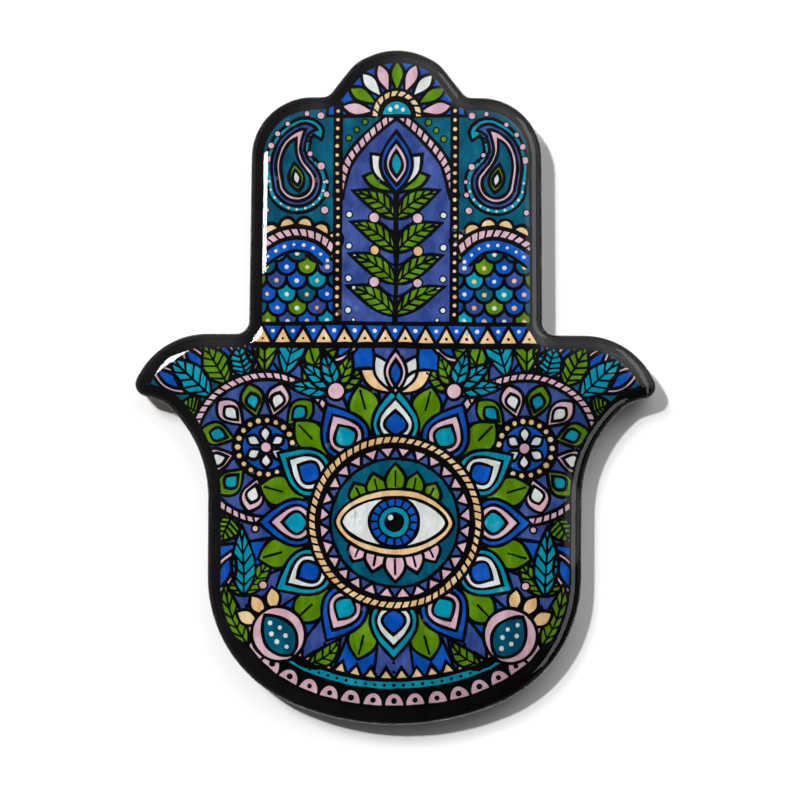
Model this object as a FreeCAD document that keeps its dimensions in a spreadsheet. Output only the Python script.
"""A hamsa hand wall plaque, about 155 mm wide and 200 mm tall, lying on its back.

A hand-shaped board carries a thin painted picture under a clear, domed resin coat. On the back are a
folded strap with a swinging D ring, the strap's two screws and four rubber bumpers.

Frame: +X to the right and +Y to the fingertips as the plaque is looked at, +Z out of the picture.
The origin is under the middle of the plaque, on the surface that it lies on. All sizes are in mm.
"""

import FreeCAD
import Part
import math
import os
import re
import Sketcher
from FreeCAD import Placement, Rotation, Vector

X_AXIS = Vector(1, 0, 0)
Y_AXIS = Vector(0, 1, 0)
Z_AXIS = Vector(0, 0, 1)

# Every driving size: its name, its value and what it is. Heights on the hand are from its lowest edge.
SIZES = [
    ("hand_height", 200.0, "lowest edge of the palm to the tip of the middle finger"),
    ("crown_round", 20.0, "radius of the middle finger's tip"),
    ("crown_corner_span", 24.4, "between the two corners beside the tip, before rounding"),
    ("crown_corner_drop", 3.5, "those corners, below the tip"),
    ("crown_corner_round", 12.0, "radius at those corners"),
    ("crown_rise", 14.0, "middle finger's tip above the outer fingers' tops"),
    ("crown_foot_span", 40.8, "middle finger's width where it leaves the outer fingers"),
    ("crown_foot_round", 4.0, "hollow radius there"),
    ("fingers_width", 87.0, "across the block of three fingers"),
    ("fingers_taper", 0.7, "that block's sides draw in by this at the top"),
    ("fingers_round", 18.0, "radius of the outer fingers' shoulders"),
    ("thumb_top_height", 115.7, "top line of the thumbs"),
    ("web_round", 4.0, "hollow radius between finger and thumb"),
    ("thumb_point_span", 157.6, "between the two thumbs' points, before rounding"),
    ("thumb_point_height", 98.4, "height of those points"),
    ("thumb_point_round", 3.7, "radius of the thumbs' points"),
    ("thumb_back_inset", 9.0, "corner of the thumb's back, inside its point"),
    ("thumb_back_round", 23.0, "radius of the thumb's back"),
    ("thumb_crook_inset", 10.1, "corner under the thumb, inside its point"),
    ("thumb_crook_drop", 3.0, "that corner, below the thumb's point"),
    ("thumb_crook_round", 8.0, "hollow radius at that corner"),
    ("palm_width", 110.8, "across the palm"),
    ("palm_flare_height", 82.9, "where the palm's side would turn out to the thumb"),
    ("palm_flare_round", 37.0, "hollow radius of that turn"),
    ("palm_corner_height", 16.6, "where the palm's side would meet the heel"),
    ("palm_corner_round", 40.5, "radius of that corner"),
    ("heel_round", 77.0, "radius of the palm's lowest edge"),
    ("board_thickness", 6.0, "wooden board"),
    ("board_edge_round", 0.8, "rounding of the board's back edge"),
    ("film_thickness", 0.3, "painted picture with its ground"),
    ("film_inset", 1.2, "picture's edge inside the board's edge"),
    ("dome_thickness", 3.0, "resin above the board"),
    ("dome_round", 2.8, "rounding of the resin's rim"),
    ("rim_wall", 0.2, "least upright wall below that rounding"),
    ("hanger_clearance", 0.16, "between the strap's roll and the table"),
    ("bumper_radius", 4.75, "bumper where it is stuck on"),
    ("bumper_foot_radius", 2.6, "bumper's flat foot"),
    ("bumper_skirt", 0.6, "straight edge of the bumper next to the board"),
    ("upper_bumper_inset", 12.5, "upper bumpers' middles, inside the finger block's sides"),
    ("upper_bumper_drop", 16.0, "those middles, below the outer fingers' tops"),
    ("lower_bumper_inset", 19.4, "lower bumpers' middles, inside the palm's sides"),
    ("lower_bumper_height", 32.0, "those middles, on the hand"),
    ("hanger_drop", 40.0, "ring's bar below the middle finger's tip"),
    ("wire_radius", 0.75, "ring's wire"),
    ("wire_clearance", 0.07, "between the wire and the rolled strap"),
    ("wire_gap", 0.3, "between the wire's two ends, inside the roll"),
    ("ring_reach", 13.0, "ring's bar to the middle of its far end"),
    ("ring_corner", 1.6, "bend between the ring's bar and its arms"),
    ("ring_side_play", 0.25, "between the roll's end and the start of that bend"),
    ("ring_drop_clearance", 0.03, "between the resting ring and the table"),
    ("strap_thickness", 0.6, "steel of the strap"),
    ("strap_width", 9.0, "strap"),
    ("strap_length", 23.0, "ring's bar to the strap's far end"),
    ("strap_corner", 2.5, "rounding of the strap's far corners"),
    ("strap_roll_end", 155.0, "where the rolled end stops, in degrees"),
    ("screw_inset", 7.0, "upper screw from the ring's bar"),
    ("screw_spacing", 11.0, "between the two screws"),
    ("screw_shank_radius", 1.3, "wood screw's shank"),
    ("screw_shank_length", 4.6, "shank and tip, under the head"),
    ("screw_tip_length", 1.2, "pointed end of the shank"),
    ("screw_head_radius", 2.4, "pan head"),
    ("screw_head_height", 1.3, "pan head"),
    ("screw_head_edge", 0.5, "straight side of the pan head"),
    ("screw_recess_length", 2.6, "cross recess, end to end"),
    ("screw_recess_width", 0.6, "arm of the cross recess"),
    ("screw_recess_depth", 0.7, "cross recess"),
    ("strap_hole_clearance", 0.2, "between a shank and the strap's hole"),
    ("pilot_clearance", 0.03, "between a shank and its pilot hole"),
    ("pilot_spare_depth", 0.4, "pilot hole beyond the screw's tip"),
]
# Sizes and heights that follow from those, with heights above the table or, where said, on the hand.
FORMULAS = {
    "roll_radius": "wire_radius + wire_clearance + strap_thickness",
    "bumper_height": "roll_radius + roll_radius + hanger_clearance",
    "board_face_level": "bumper_height + board_thickness",
    "ring_bar_level": "bumper_height - roll_radius",
    "rim_round": "min(dome_round; dome_thickness - rim_wall)",
    "upper_bumper_side": "fingers_width / 2 - upper_bumper_inset",
    "upper_bumper_on_hand": "hand_height - crown_rise - upper_bumper_drop",
    "lower_bumper_side": "palm_width / 2 - lower_bumper_inset",
    "ring_bar_on_hand": "hand_height - hanger_drop",
    "upper_screw_on_hand": "ring_bar_on_hand - screw_inset",
    "lower_screw_on_hand": "upper_screw_on_hand - screw_spacing",
    "pilot_depth": "screw_shank_length - strap_thickness + pilot_spare_depth",
    "ring_straight_bar": "strap_width / 2 + ring_side_play",
    "ring_half_width": "ring_straight_bar + ring_corner",
    "ring_droop_room": "ring_bar_level - wire_radius - ring_drop_clearance",
}
SHORTEST_STRAIGHT = 0.2  # a straight run that stays between two of the outline's roundings
NEAR = 1e-4  # how near an edge lies to a height to be taken as on it

doc = FreeCAD.newDocument("hamsa_plaque")
sheet = doc.addObject("Spreadsheet::Sheet", "sizes")
size = {}
for row, (name, value, meaning) in enumerate(SIZES, start=1):
    sheet.set(f"A{row}", name)
    sheet.set(f"B{row}", str(value))
    sheet.set(f"C{row}", meaning)
    sheet.setAlias(f"B{row}", name)
    size[name] = value
doc.recompute()


def on_sheet(formula):
    """A formula with its names spelled out as the sheet's expressions need them."""

    def spelled(word):
        if word[0] in FORMULAS:
            return f"({on_sheet(FORMULAS[word[0]])})"
        return f"sizes.{word[0]}" if word[0] in size else word[0]

    return re.sub("[a-z_]+", spelled, formula)


def bind(thing, prop, formula):
    """Binds a property to a formula of driving sizes."""
    thing.setExpression(prop, on_sheet(formula))


def plane(body, role):
    """The origin plane of a body, by its role, such as XY_Plane."""
    return next(feature for feature in body.Origin.OriginFeatures if feature.Role == role)


def new_body(name, y="0", z="0", x="0"):
    """A body whose origin lies at these formulas, with y measured on the hand."""
    body = doc.addObject("PartDesign::Body", name)
    body.Label = name
    bind(body, "Placement.Base.x", x)
    bind(body, "Placement.Base.y", f"{y} - hand_height / 2")
    bind(body, "Placement.Base.z", z)
    return body


def new_sketch(body, name, role="XY_Plane"):
    sketch = body.newObject("Sketcher::SketchObject", name)
    sketch.AttachmentSupport = [(plane(body, role), "")]
    sketch.MapMode = "FlatFace"
    return sketch


def value_of(formula):
    """A formula's value: names and plain numbers joined by + - / with spaces, read from the left."""
    total, sign, term = 0.0, 1.0, None
    words = formula.split() + ["+"]
    for before, word in zip([None] + words, words):
        if word in "+-":
            total += sign * term
            sign = 1.0 if word == "+" else -1.0
        elif before == "/":
            term /= float(word)
        elif word in FORMULAS:
            term = value_of(FORMULAS[word])
        elif word != "/":
            term = size[word] if word in size else float(word)
    return total


ORIGIN, X_LINE, Y_LINE = (-1, 1), -1, -2  # the sketcher's own names for its origin and its axes
START, END, CENTRE = 1, 2, 3  # and for the points of a line or an arc


def measure(sketch, formula, *constraint):
    """Adds a dimension to a sketch and binds it to a formula."""
    index = sketch.addConstraint(Sketcher.Constraint(*constraint))
    bind(sketch, f"Constraints[{index}]", formula)


def tie(sketch, kind, *members):
    """Adds a constraint that has no size."""
    sketch.addConstraint(Sketcher.Constraint(kind, *members))


def place_point(sketch, curve, end, x, y):
    """Ties a point of a curve to the formulas of its x and y."""
    for axis, formula, line in (("DistanceX", x, Y_LINE), ("DistanceY", y, X_LINE)):
        if formula == "0":
            tie(sketch, "PointOnObject", curve, end, line)
        else:
            measure(sketch, formula, axis, *ORIGIN, curve, end, value_of(formula))


# ---- The hand's outline -------------------------------------------------------------------------
# The right half is a chain of straight lines with a rounding at each corner, between two arcs that
# are centred on the hand's axis: the middle finger's tip above and the heel of the palm below.
# A corner is (x formula, y formula, radius name).
CORNERS = [
    ("crown_corner_span / 2", "hand_height - crown_corner_drop", "crown_corner_round"),
    ("crown_foot_span / 2", "hand_height - crown_rise", "crown_foot_round"),
    ("fingers_width / 2 - fingers_taper", "hand_height - crown_rise", "fingers_round"),
    ("fingers_width / 2", "thumb_top_height", "web_round"),
    ("thumb_point_span / 2 - thumb_back_inset", "thumb_top_height", "thumb_back_round"),
    ("thumb_point_span / 2", "thumb_point_height", "thumb_point_round"),
    (
        "thumb_point_span / 2 - thumb_crook_inset",
        "thumb_point_height - thumb_crook_drop",
        "thumb_crook_round",
    ),
    ("palm_width / 2", "palm_flare_height", "palm_flare_round"),
    ("palm_width / 2", "palm_corner_height", "palm_corner_round"),
]


def touch(centre, radius, corner, turn):
    """Where the tangent from a corner touches a circle, on the side that turn (1 or -1) says."""
    away = corner - centre
    angle = math.atan2(away.y, away.x) + turn * math.acos(radius / away.Length)
    return centre + Vector(radius * math.cos(angle), radius * math.sin(angle), 0)


def largest_end_round(corner, end_height):
    """The largest radius of an arc on the axis through end_height that a corner still lies outside."""
    drop = abs(corner.y - end_height)
    return (corner.x**2 + drop**2) / (2 * drop)


def half_outline():
    """The right half's start and end arcs, its corners with their tangent points, and their radii.

    A rounding gives way in proportion where its two straight runs are too short for it.
    """
    corners = [Vector(value_of(x), value_of(y), 0) for x, y, _ in CORNERS]
    top = min(size["crown_round"], 0.98 * largest_end_round(corners[0], size["hand_height"]))
    heel = min(size["heel_round"], 0.98 * largest_end_round(corners[-1], 0))
    top_centre = Vector(0, size["hand_height"] - top, 0)
    heel_centre = Vector(0, heel, 0)
    path = [touch(top_centre, top, corners[0], 1)] + corners
    path.append(touch(heel_centre, heel, corners[-1], -1))
    turns = []
    for before, corner, after in zip(path, corners, path[2:]):
        turns.append((corner - before).getAngle(after - corner))
    reach = [size[r] * math.tan(turn / 2) for (_, _, r), turn in zip(CORNERS, turns)]
    runs = [(b - a).Length - SHORTEST_STRAIGHT for a, b in zip(path, path[1:])]
    used = [0.0] + reach + [0.0]
    share = [min(1.0, run / (a + b)) for run, a, b in zip(runs, used, used[1:])]
    reach = [r * min(a, b) for r, a, b in zip(reach, share, share[1:])]
    rounds = [r / math.tan(turn / 2) for r, turn in zip(reach, turns)]
    return (top_centre, top), (heel_centre, heel), path, reach, rounds


def arc_between(centre, radius, start, end):
    """The arc, counter-clockwise from start to end, that a sketch takes."""
    first = math.atan2(start.y - centre.y, start.x - centre.x)
    last = math.atan2(end.y - centre.y, end.x - centre.x)
    circle = Part.Circle(centre, Z_AXIS, radius)
    return Part.ArcOfCircle(circle, first, last + (2 * math.pi if last < first else 0))


def mirrored(point):
    return Vector(-point.x, point.y, 0)


def bind_radius(sketch, arc, radius_name, used):
    """A radius is bound to its size, unless it had to give way."""
    if abs(size[radius_name] - used) < NEAR:
        measure(sketch, radius_name, "Radius", arc, used)
    else:
        sketch.addConstraint(Sketcher.Constraint("Radius", arc, used))


def draw_half(sketch):
    """Draws the right half and ties it to the sizes. Returns its arcs and lines from the top down."""
    (top_centre, top), (heel_centre, heel), path, reach, rounds = half_outline()
    tip, foot = Vector(0, size["hand_height"], 0), Vector(0, 0, 0)
    ends = [path[0]]
    roundings = []
    for before, corner, after, back, radius in zip(path, path[1:], path[2:], reach, rounds):
        into = (corner - before).normalize()
        out = (after - corner).normalize()
        a, b = corner - into * back, corner + out * back
        clockwise = into.cross(out).z < 0
        side = Vector(into.y, -into.x, 0) * (radius if clockwise else -radius)
        pair = (b, a) if clockwise else (a, b)
        roundings.append((arc_between(a + side, radius, *pair), clockwise, corner))
        ends += [a, b]
    ends.append(path[-1])
    lines = [
        sketch.addGeometry(Part.LineSegment(a, b), False) for a, b in zip(ends[::2], ends[1::2])
    ]
    first = sketch.addGeometry(arc_between(top_centre, top, path[0], tip), False)
    last = sketch.addGeometry(arc_between(heel_centre, heel, foot, path[-1]), False)
    arcs = [sketch.addGeometry(arc, False) for arc, _, _ in roundings]
    for arc, (_, clockwise, _), above, below in zip(arcs, roundings, lines, lines[1:]):
        enter, leave = (END, START) if clockwise else (START, END)
        tie(sketch, "Tangent", above, END, arc, enter)
        tie(sketch, "Tangent", arc, leave, below, START)
    tie(sketch, "Tangent", first, START, lines[0], START)
    tie(sketch, "Tangent", lines[-1], END, last, END)
    for arc, (x, y, radius_name), (_, _, corner), above, below in zip(
        arcs, CORNERS, roundings, lines, lines[1:]
    ):
        point = sketch.addGeometry(Part.Point(corner), True)
        measure(sketch, x, "DistanceX", *ORIGIN, point, START, corner.x)
        measure(sketch, y, "DistanceY", *ORIGIN, point, START, corner.y)
        tie(sketch, "PointOnObject", point, START, above)
        tie(sketch, "PointOnObject", point, START, below)
        bind_radius(sketch, arc, radius_name, rounds[arcs.index(arc)])
    bind_radius(sketch, first, "crown_round", top)
    bind_radius(sketch, last, "heel_round", heel)
    measure(sketch, "hand_height", "DistanceY", *ORIGIN, first, END, tip.y)
    tie(sketch, "PointOnObject", first, END, Y_LINE)
    tie(sketch, "PointOnObject", first, CENTRE, Y_LINE)
    tie(sketch, "Coincident", last, START, *ORIGIN)
    tie(sketch, "PointOnObject", last, CENTRE, Y_LINE)
    clockwise = [turn for _, turn, _ in roundings]
    return first, arcs, clockwise, last, lines


def draw_mirror_half(sketch, first, arcs, clockwise, last, lines):
    """Draws the left half as the right one's mirror image across the hand's axis."""
    twins = {}
    for index in lines + [first] + arcs + [last]:
        curve = sketch.Geometry[index]
        start, end = mirrored(curve.StartPoint), mirrored(curve.EndPoint)
        if index in lines:
            twins[index] = sketch.addGeometry(Part.LineSegment(start, end), False)
        else:
            arc = arc_between(mirrored(curve.Center), curve.Radius, end, start)
            twins[index] = sketch.addGeometry(arc, False)
    for line in lines:
        for end in (START, END):
            tie(sketch, "Symmetric", line, end, twins[line], end, Y_LINE)
    # A mirrored arc runs the other way, so its start is the twin of the first one's end.
    for arc, turn, above, below in zip(arcs, clockwise, lines, lines[1:]):
        enter, leave = (START, END) if turn else (END, START)
        pairs = [(twins[above], END, twins[arc], enter), (twins[arc], leave, twins[below], START)]
        for pair in pairs:
            tie(sketch, "Coincident", *pair)
    joins = [
        (first, END, twins[first], START),
        (twins[first], END, twins[lines[0]], START),
        (last, START, twins[last], END),
        (twins[last], START, twins[lines[-1]], END),
    ]
    for join in joins:
        tie(sketch, "Coincident", *join)
    for arc in [first] + arcs + [last]:
        tie(sketch, "Equal", arc, twins[arc])


def hand_outline():
    """One sketch of the whole outline, which the board, the picture and the resin all follow."""
    sketch = doc.addObject("Sketcher::SketchObject", "hand_outline")
    draw_mirror_half(sketch, *draw_half(sketch))
    doc.recompute()
    return sketch


outline = hand_outline()


def hand_face(body, name, inset=None):
    """The hand's outline as a profile in a body, drawn in by a size if one is named."""
    face = body.newObject("PartDesign::SubShapeBinder", name)
    face.Support = [(outline, "")]
    face.Relative = False
    if inset:
        bind(face, "Offset", f"0 mm - {inset} * 1 mm")
    doc.recompute()
    return face


def pad(body, name, profile, length, both_sides=False):
    feature = body.newObject("PartDesign::Pad", name)
    feature.Profile = profile
    bind(feature, "Length", length)
    feature.Midplane = both_sides
    doc.recompute()
    return feature


def pocket(body, name, profile, depth, upwards):
    """Cuts a profile into the body, along the profile's normal if upwards."""
    feature = body.newObject("PartDesign::Pocket", name)
    feature.Profile = profile
    bind(feature, "Length", depth)
    feature.Reversed = upwards
    doc.recompute()
    return feature


def round_edges(body, name, base, chosen, radius):
    """Rounds the edges of a feature for which chosen(edge) holds."""
    edges = [f"Edge{i}" for i, edge in enumerate(base.Shape.Edges, 1) if chosen(edge)]
    feature = body.newObject("PartDesign::Fillet", name)
    feature.Base = (base, edges)
    bind(feature, "Radius", radius)
    doc.recompute()
    return feature


def lies_at(height):
    """A test for an edge that lies flat at a height above its body's base plane."""
    return lambda edge: (
        abs(edge.BoundBox.ZMin - height) < NEAR and abs(edge.BoundBox.ZMax - height) < NEAR
    )


def circle(sketch, y, radius_formula):
    """A circle on the sketch's vertical axis, at a height and radius that are formulas."""
    centre, radius = Vector(0, value_of(y), 0), value_of(radius_formula)
    index = sketch.addGeometry(Part.Circle(centre, Z_AXIS, radius), False)
    place_point(sketch, index, CENTRE, "0", y)
    measure(sketch, radius_formula, "Radius", index, radius)


# ---- The front: board, picture and resin --------------------------------------------------------
def backing_board():
    """The wooden board, its back edge eased, with two blind pilot holes for the strap's screws."""
    body = new_body("backing_board", z="bumper_height")
    slab = pad(body, "slab", hand_face(body, "board_face"), "board_thickness")
    round_edges(body, "eased_back", slab, lies_at(0), "board_edge_round")
    holes = new_sketch(body, "pilot_hole_places")
    for height in ("upper_screw_on_hand", "lower_screw_on_hand"):
        circle(holes, height, "screw_shank_radius + pilot_clearance")
    pocket(body, "pilot_holes", holes, "pilot_depth", upwards=True)
    return body


def picture_film():
    """The painted picture on its ground, a thin layer that stops short of the board's edge."""
    body = new_body("picture_film", z="board_face_level")
    pad(body, "paint", hand_face(body, "film_face", "film_inset"), "film_thickness")
    return body


def resin_dome():
    """The clear resin, rolled over at its rim and hollow below where the picture lies."""
    body = new_body("resin_dome", z="board_face_level")
    slab = pad(body, "poured_resin", hand_face(body, "resin_face"), "dome_thickness")
    round_edges(body, "rim", slab, lies_at(size["dome_thickness"]), "rim_round")
    room = hand_face(body, "film_room", "film_inset")
    pocket(body, "room_for_film", room, "film_thickness", upwards=True)
    return body


# ---- The back: strap, ring, screws and bumpers --------------------------------------------------
def closed_chain(sketch, curves):
    """Adds curves that meet end to end, each with whether it runs backwards, and joins them."""
    indices = [sketch.addGeometry(curve, False) for curve, _ in curves]
    for here in range(len(curves)):
        after = (here + 1) % len(curves)
        leave = START if curves[here][1] else END
        enter = END if curves[after][1] else START
        tie(sketch, "Coincident", indices[here], leave, indices[after], enter)
    return indices


def hanger_strap():
    """A steel strap rolled round the ring's bar, its origin on the bar's axis. The roll stays open."""
    body = new_body("hanger_strap", y="ring_bar_on_hand", z="ring_bar_level")
    inner = value_of("wire_radius + wire_clearance")
    outer = value_of("roll_radius")
    stop = math.radians(size["strap_roll_end"])
    length = size["strap_length"]
    side = new_sketch(body, "strap_side", "YZ_Plane")
    ray = Vector(math.cos(stop), math.sin(stop), 0)
    centre = Vector(0, 0, 0)
    curves = [
        (Part.LineSegment(Vector(-length, outer, 0), Vector(0, outer, 0)), False),
        (arc_between(centre, outer, ray * outer, Vector(0, outer, 0)), True),
        (Part.LineSegment(ray * outer, ray * inner), False),
        (arc_between(centre, inner, ray * inner, Vector(0, inner, 0)), False),
        (Part.LineSegment(Vector(0, inner, 0), Vector(-length, inner, 0)), False),
        (Part.LineSegment(Vector(-length, inner, 0), Vector(-length, outer, 0)), False),
    ]
    top, outer_arc, lip, inner_arc, under, end = closed_chain(side, curves)
    for arc in (outer_arc, inner_arc):
        tie(side, "Coincident", arc, CENTRE, *ORIGIN)
    for line in (top, under):
        tie(side, "Horizontal", line)
    tie(side, "Vertical", end)
    tie(side, "PointOnObject", *ORIGIN, lip)
    tie(side, "PointOnObject", top, END, Y_LINE)
    tie(side, "PointOnObject", under, START, Y_LINE)
    measure(side, "roll_radius", "Radius", outer_arc, outer)
    measure(side, "wire_radius + wire_clearance", "Radius", inner_arc, inner)
    measure(side, "strap_length", "DistanceX", end, START, *ORIGIN, length)
    measure(side, "(strap_roll_end - 180) * 1 deg", "Angle", lip, stop - math.pi)
    strap = pad(body, "bent_strap", side, "strap_width", both_sides=True)

    def at_far_end(edge):
        return abs(edge.BoundBox.YMax + length) < NEAR and edge.BoundBox.ZLength > NEAR

    round_edges(body, "far_corners", strap, at_far_end, "strap_corner")
    holes = new_sketch(body, "screw_hole_places")
    for back in ("0 - screw_inset", "0 - screw_inset - screw_spacing"):
        circle(holes, back, "screw_shank_radius + strap_hole_clearance")
    pocket(body, "screw_holes", holes, "roll_radius", upwards=True)
    return body


def ring_path(body):
    """The line of the D ring's wire: from the middle of its bar, round the far end and back."""
    gap, corner = size["wire_gap"] / 2, size["ring_corner"]
    straight, half = value_of("ring_straight_bar"), value_of("ring_half_width")
    arm = size["ring_reach"] - half
    bend = Vector(straight, corner, 0)
    bar = (Vector(gap, 0, 0), Vector(straight, 0, 0))
    side = (Vector(half, corner, 0), Vector(half, arm, 0))
    curves = [
        Part.LineSegment(*bar),
        arc_between(bend, corner, bar[1], side[0]),
        Part.LineSegment(*side),
        arc_between(Vector(0, arm, 0), half, side[1], mirrored(side[1])),
        Part.LineSegment(mirrored(side[1]), mirrored(side[0])),
        arc_between(mirrored(bend), corner, mirrored(side[0]), mirrored(bar[1])),
        Part.LineSegment(mirrored(bar[1]), mirrored(bar[0])),
    ]
    path = new_sketch(body, "ring_path")
    right_bar, right_bend, right_side, far_end, left_side, left_bend, left_bar = [
        path.addGeometry(curve, False) for curve in curves
    ]
    place_point(path, right_bar, START, "wire_gap / 2", "0")
    place_point(path, right_bar, END, "ring_straight_bar", "0")
    tie(path, "Tangent", right_bar, END, right_bend, START)
    tie(path, "Tangent", right_bend, END, right_side, START)
    tie(path, "Tangent", right_side, END, far_end, START)
    tie(path, "Vertical", right_side)
    measure(path, "ring_corner", "Radius", right_bend, corner)
    measure(path, "ring_reach - ring_half_width", "DistanceY", *ORIGIN, far_end, CENTRE, arm)
    twins = ((right_bar, left_bar), (right_side, left_side))
    for right, left in twins:
        tie(path, "Symmetric", right, START, left, END, Y_LINE)
        tie(path, "Symmetric", right, END, left, START, Y_LINE)
    tie(path, "Coincident", far_end, END, left_side, START)
    tie(path, "Coincident", left_side, END, left_bend, START)
    tie(path, "Coincident", left_bend, END, left_bar, START)
    tie(path, "Equal", right_bend, left_bend)
    return path


def hanger_ring():
    """The D ring: a bent wire whose two ends meet inside the strap's roll. It droops onto the table."""
    body = new_body("hanger_ring", y="ring_bar_on_hand", z="ring_bar_level")
    path = ring_path(body)
    section = new_sketch(body, "wire_section", "YZ_Plane")
    bind(section, "AttachmentOffset.Base.z", "wire_gap / 2")
    circle(section, "0", "wire_radius")
    doc.recompute()
    sweep = body.newObject("PartDesign::AdditivePipe", "bent_wire")
    sweep.Profile = section
    sweep.Spine = (path, [])
    doc.recompute()
    body.Placement = Placement(body.Placement.Base, Rotation(-X_AXIS, 1))
    bind(body, "Placement.Rotation.Angle", "asin(ring_droop_room / ring_reach)")
    doc.recompute()
    return body


def arc_touching(corner, direction, other):
    """The centre and radius of a circle through two points, that runs along direction at the first."""
    normal = Vector(-direction.y, direction.x, 0)
    chord = other - corner
    radius = chord.Length**2 / (2 * chord.dot(normal))
    return corner + normal * radius, radius


def turned(body, name, corners, arc_from, meets_axis):
    """Turns a closed half profile round the body's Z axis.

    Corners are pairs of formulas: distance from the axis and height. The stretch after the corner
    numbered arc_from is an arc. It is square to the axis if it meets it there, and otherwise runs on
    from the upright stretch before it.
    """
    profile = new_sketch(body, name, "XZ_Plane")
    points = [Vector(value_of(x), value_of(y), 0) for x, y in corners]
    curves = []
    for index, (start, end) in enumerate(zip(points, points[1:] + points[:1])):
        if index != arc_from:
            curves.append((Part.LineSegment(start, end), False))
        elif meets_axis:
            curves.append((arc_between(*arc_touching(end, X_AXIS, start), end, start), True))
        else:
            curves.append((arc_between(*arc_touching(start, Y_AXIS, end), end, start), True))
    indices = closed_chain(profile, curves)
    arc = indices[arc_from]
    for index, (x, y) in zip(indices, corners):
        place_point(profile, index, END if index == arc else START, x, y)
    if meets_axis:
        tie(profile, "PointOnObject", arc, CENTRE, Y_LINE)
    else:
        tie(profile, "Horizontal", arc, CENTRE, arc, END)
    doc.recompute()
    feature = body.newObject("PartDesign::Revolution", f"{name}_turned")
    feature.Profile = profile
    feature.ReferenceAxis = (profile, ["V_Axis"])
    feature.Angle = 360
    doc.recompute()
    return feature


def slot(body, name, z, width, length):
    """A sketch of a rectangle centred on the body's axis, at a height. Its sizes are formulas."""
    sketch = new_sketch(body, name)
    bind(sketch, "AttachmentOffset.Base.z", z)
    x, y = value_of(width) / 2, value_of(length) / 2
    corners = [Vector(-x, -y, 0), Vector(x, -y, 0), Vector(x, y, 0), Vector(-x, y, 0)]
    sides = zip(corners, corners[1:] + corners[:1])
    near, right, far, left = closed_chain(sketch, [(Part.LineSegment(*s), False) for s in sides])
    for line in (near, far):
        tie(sketch, "Horizontal", line)
    for line in (right, left):
        tie(sketch, "Vertical", line)
    tie(sketch, "Symmetric", near, START, far, START, *ORIGIN)
    measure(sketch, width, "DistanceX", near, START, near, END, 2 * x)
    measure(sketch, length, "DistanceY", right, START, right, END, 2 * y)
    return sketch


def hanger_screw(name, height):
    """A pan-head wood screw, point up, its origin under the head's flat side."""
    body = new_body(name, y=height, z="bumper_height - strap_thickness")
    corners = [
        ("0", "0 - screw_head_height"),
        ("0", "screw_shank_length"),
        ("screw_shank_radius", "screw_shank_length - screw_tip_length"),
        ("screw_shank_radius", "0"),
        ("screw_head_radius", "0"),
        ("screw_head_radius", "0 - screw_head_edge"),
    ]
    turned(body, "screw_profile", corners, arc_from=5, meets_axis=True)
    arm = ("screw_recess_width", "screw_recess_length")
    for direction, (width, length) in (("along", arm), ("across", arm[::-1])):
        sketch = slot(body, f"recess_{direction}", "0 - screw_head_height", width, length)
        pocket(body, f"cut_{direction}", sketch, "screw_recess_depth", upwards=True)
    return body


def bumper(name, x, y):
    """A stick-on rubber bumper: a straight skirt at the board and a rounded body with a flat foot."""
    body = new_body(name, x=x, y=y, z="bumper_height")
    corners = [
        ("0", "0 - bumper_height"),
        ("0", "0"),
        ("bumper_radius", "0"),
        ("bumper_radius", "0 - bumper_skirt"),
        ("bumper_foot_radius", "0 - bumper_height"),
    ]
    turned(body, "bumper_profile", corners, arc_from=3, meets_axis=False)
    return body


nodes = [
    backing_board(),
    picture_film(),
    resin_dome(),
    hanger_strap(),
    hanger_ring(),
    hanger_screw("hanger_screw_upper", "upper_screw_on_hand"),
    hanger_screw("hanger_screw_lower", "lower_screw_on_hand"),
]
for side, sign in (("left", "-1"), ("right", "1")):
    x = f"{sign} * upper_bumper_side"
    nodes.append(bumper(f"bumper_top_{side}", x, "upper_bumper_on_hand"))
    x = f"{sign} * lower_bumper_side"
    nodes.append(bumper(f"bumper_bottom_{side}", x, "lower_bumper_height"))
doc.recompute()

for feature in doc.Objects:
    if {"Invalid", "Error"} & set(feature.State):
        raise RuntimeError(f"{feature.Name} failed: {feature.State}")
os.makedirs("parts", exist_ok=True)
for body in nodes:
    if body.Shape.isNull() or not body.Shape.isValid() or len(body.Shape.Solids) != 1:
        raise RuntimeError(f"{body.Label} isn't one valid solid")
    body.Shape.exportStep(f"parts/{body.Label}.step")
    box = body.Shape.optimalBoundingBox()
    print(f"{body.Label}: {body.Shape.Volume:.1f} mm3, z {box.ZMin:.2f} to {box.ZMax:.2f}")
